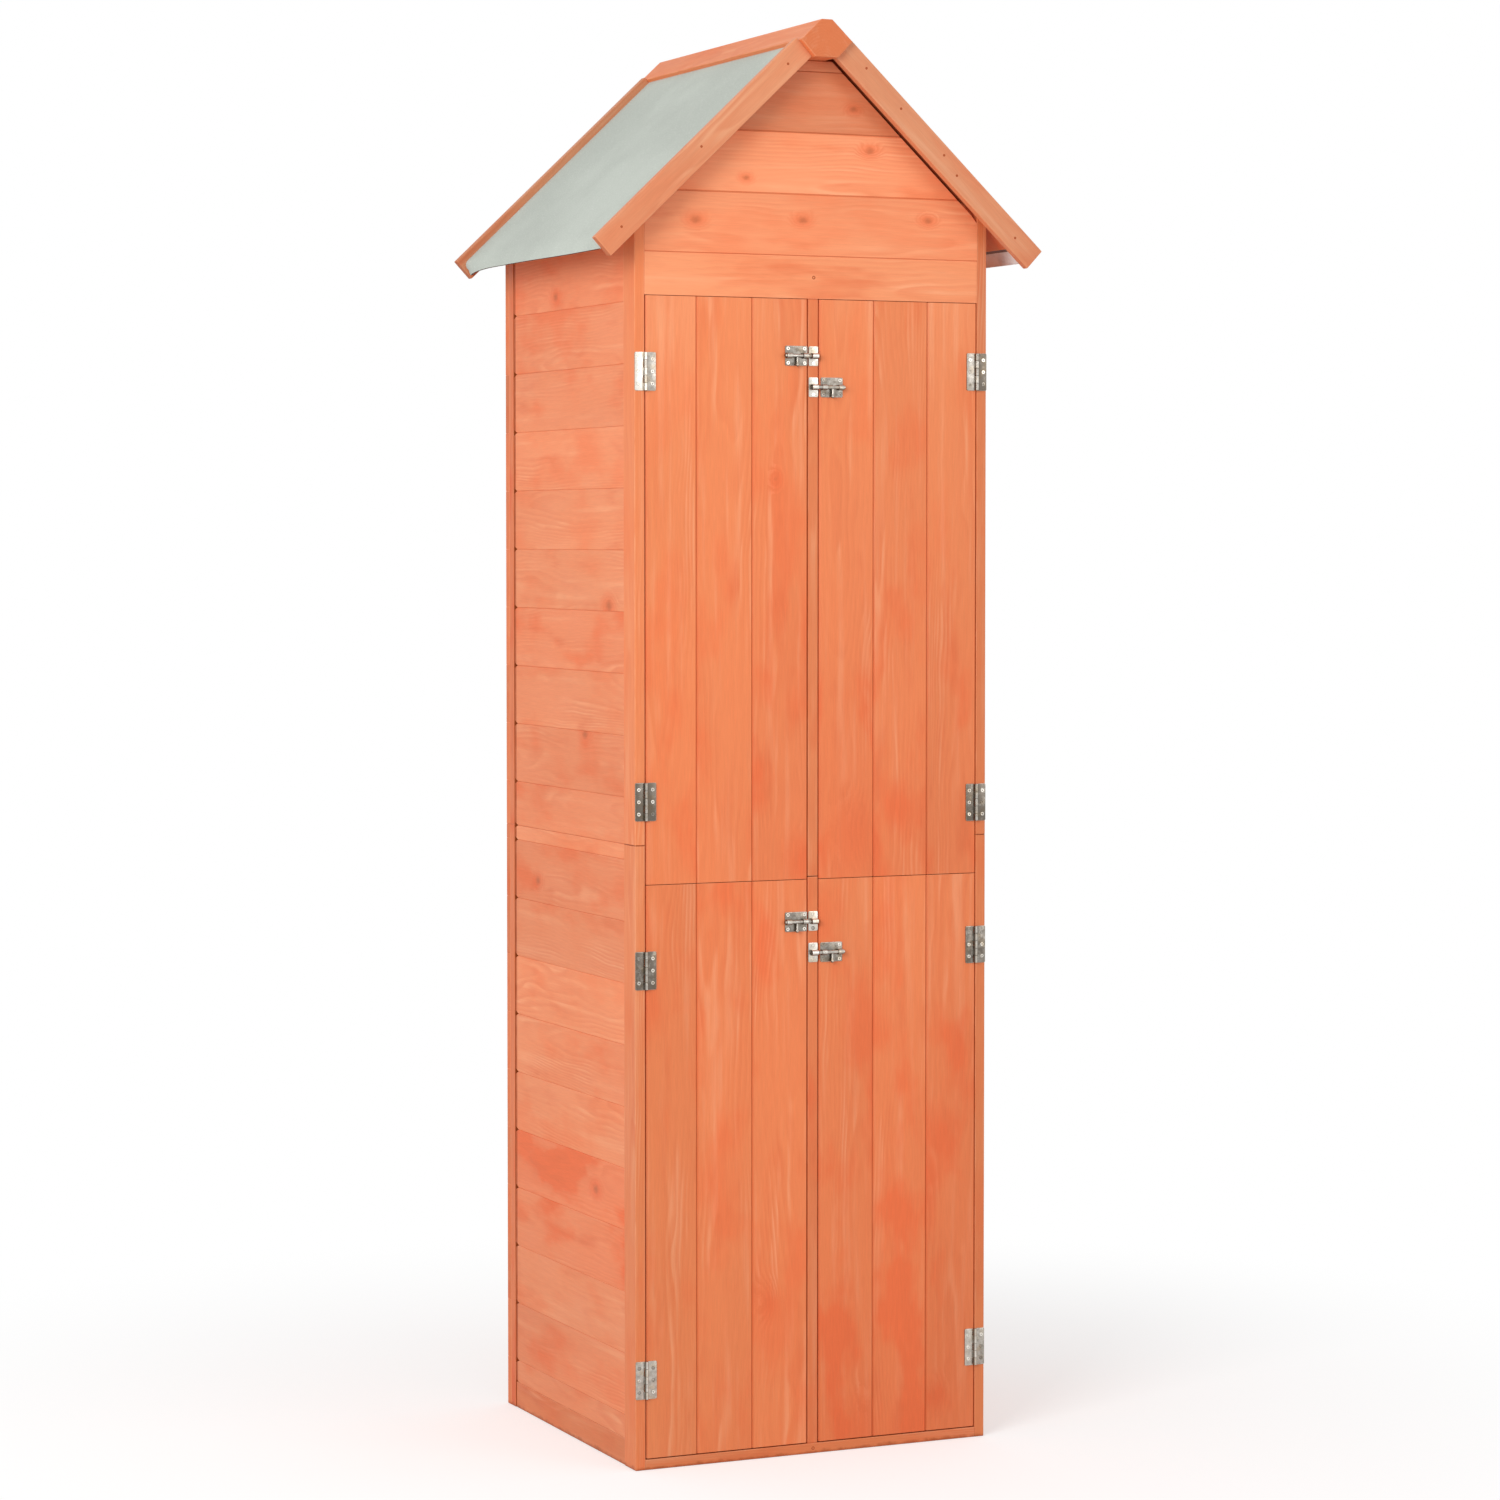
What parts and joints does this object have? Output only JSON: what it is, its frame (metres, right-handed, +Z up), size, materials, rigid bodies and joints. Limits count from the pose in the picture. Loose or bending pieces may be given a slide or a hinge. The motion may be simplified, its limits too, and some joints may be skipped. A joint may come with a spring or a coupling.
{
  "type": "tool shed",
  "caption": "Tall narrow timber tool shed of two stacked cabinets, with ledged doors on butt hinges, sliding bolts and a felted pitched roof with a ridge beam.",
  "frame": {"origin": "centre of the overall outline, at ground level", "axes": "+Z up, the doors face -Y, +X to the right seen from the front"},
  "size_m": [0.65, 0.541, 1.9022],
  "materials": {
    "cladding": "stained softwood boards, satin",
    "frame_timber": "stained planed softwood, satin",
    "door_timber": "stained softwood boards, satin",
    "inner_timber": "planed softwood, matt",
    "ridge_timber": "stained softwood beam, satin",
    "roofing": "mineral-faced roofing sheet, matt",
    "zinc": "bright zinc plate",
    "screws": "zinc plate"
  },
  "bodies": {
    "cabinet": {"lower_front_posts": "frame_timber", "lower_rear_posts": "frame_timber", "lower_left_wall": "cladding", "lower_right_wall": "cladding", "lower_back_wall": "cladding", "lower_plinth": "frame_timber", "lower_bearers": "inner_timber", "lower_floor": "inner_timber", "lower_battens": "inner_timber", "lower_top_rails": "inner_timber", "lower_mullion": "frame_timber", "upper_front_posts": "frame_timber", "upper_rear_posts": "frame_timber", "upper_left_wall": "cladding", "upper_right_wall": "cladding", "upper_back_wall": "cladding", "upper_bearers": "inner_timber", "upper_floor": "inner_timber", "upper_battens": "inner_timber", "upper_mullion": "frame_timber", "header_board": "frame_timber", "gable_frame": "inner_timber", "gable_boards": "cladding", "left_roof_deck": "inner_timber", "right_roof_deck": "inner_timber", "left_roof_sheet": "roofing", "right_roof_sheet": "roofing", "front_left_barge": "frame_timber", "front_right_barge": "frame_timber", "rear_left_barge": "frame_timber", "rear_right_barge": "frame_timber", "ridge_cap": "ridge_timber", "frame_hinge_leaves": "zinc", "hinge_pins": "zinc", "bolt_keepers": "zinc", "frame_screws": "screws"},
    "lower_left_door": {"lower_left_door_boards": "door_timber", "lower_left_door_ledges": "inner_timber", "lower_left_hinge_leaves": "zinc", "lower_left_bolt_plate": "zinc", "lower_left_door_screws": "screws"},
    "lower_left_bolt": {"lower_left_bolt_rod": "zinc"},
    "lower_right_door": {"lower_right_door_boards": "door_timber", "lower_right_door_ledges": "inner_timber", "lower_right_hinge_leaves": "zinc", "lower_right_bolt_plate": "zinc", "lower_right_door_screws": "screws"},
    "lower_right_bolt": {"lower_right_bolt_rod": "zinc"},
    "upper_left_door": {"upper_left_door_boards": "door_timber", "upper_left_door_ledges": "inner_timber", "upper_left_hinge_leaves": "zinc", "upper_left_bolt_plate": "zinc", "upper_left_door_screws": "screws"},
    "upper_left_bolt": {"upper_left_bolt_rod": "zinc"},
    "upper_right_door": {"upper_right_door_boards": "door_timber", "upper_right_door_ledges": "inner_timber", "upper_right_hinge_leaves": "zinc", "upper_right_bolt_plate": "zinc", "upper_right_door_screws": "screws"},
    "upper_right_bolt": {"upper_right_bolt_rod": "zinc"}
  },
  "joints": [
    {"name": "lower_left_door_swing", "type": "hinge", "parent": "cabinet", "child": "lower_left_door", "pos_m": [-0.24225, -0.232, 0.392], "axis": [0, 0, -1], "range_deg": [0, 175]},
    {"name": "lower_left_bolt_slide", "type": "slide", "parent": "lower_left_door", "child": "lower_left_bolt", "axis": [1, 0, 0], "range_m": [-0.006, 0.006]},
    {"name": "lower_right_door_swing", "type": "hinge", "parent": "cabinet", "child": "lower_right_door", "pos_m": [0.24225, -0.232, 0.392], "axis": [0, 0, 1], "range_deg": [0, 175]},
    {"name": "lower_right_bolt_slide", "type": "slide", "parent": "lower_right_door", "child": "lower_right_bolt", "axis": [-1, 0, 0], "range_m": [-0.006, 0.006]},
    {"name": "upper_left_door_swing", "type": "hinge", "parent": "cabinet", "child": "upper_left_door", "pos_m": [-0.24225, -0.232, 1.15425], "axis": [0, 0, -1], "range_deg": [0, 175]},
    {"name": "upper_left_bolt_slide", "type": "slide", "parent": "upper_left_door", "child": "upper_left_bolt", "axis": [1, 0, 0], "range_m": [-0.006, 0.006]},
    {"name": "upper_right_door_swing", "type": "hinge", "parent": "cabinet", "child": "upper_right_door", "pos_m": [0.24225, -0.232, 1.15425], "axis": [0, 0, 1], "range_deg": [0, 175]},
    {"name": "upper_right_bolt_slide", "type": "slide", "parent": "upper_right_door", "child": "upper_right_bolt", "axis": [-1, 0, 0], "range_m": [-0.006, 0.006]}
  ]
}
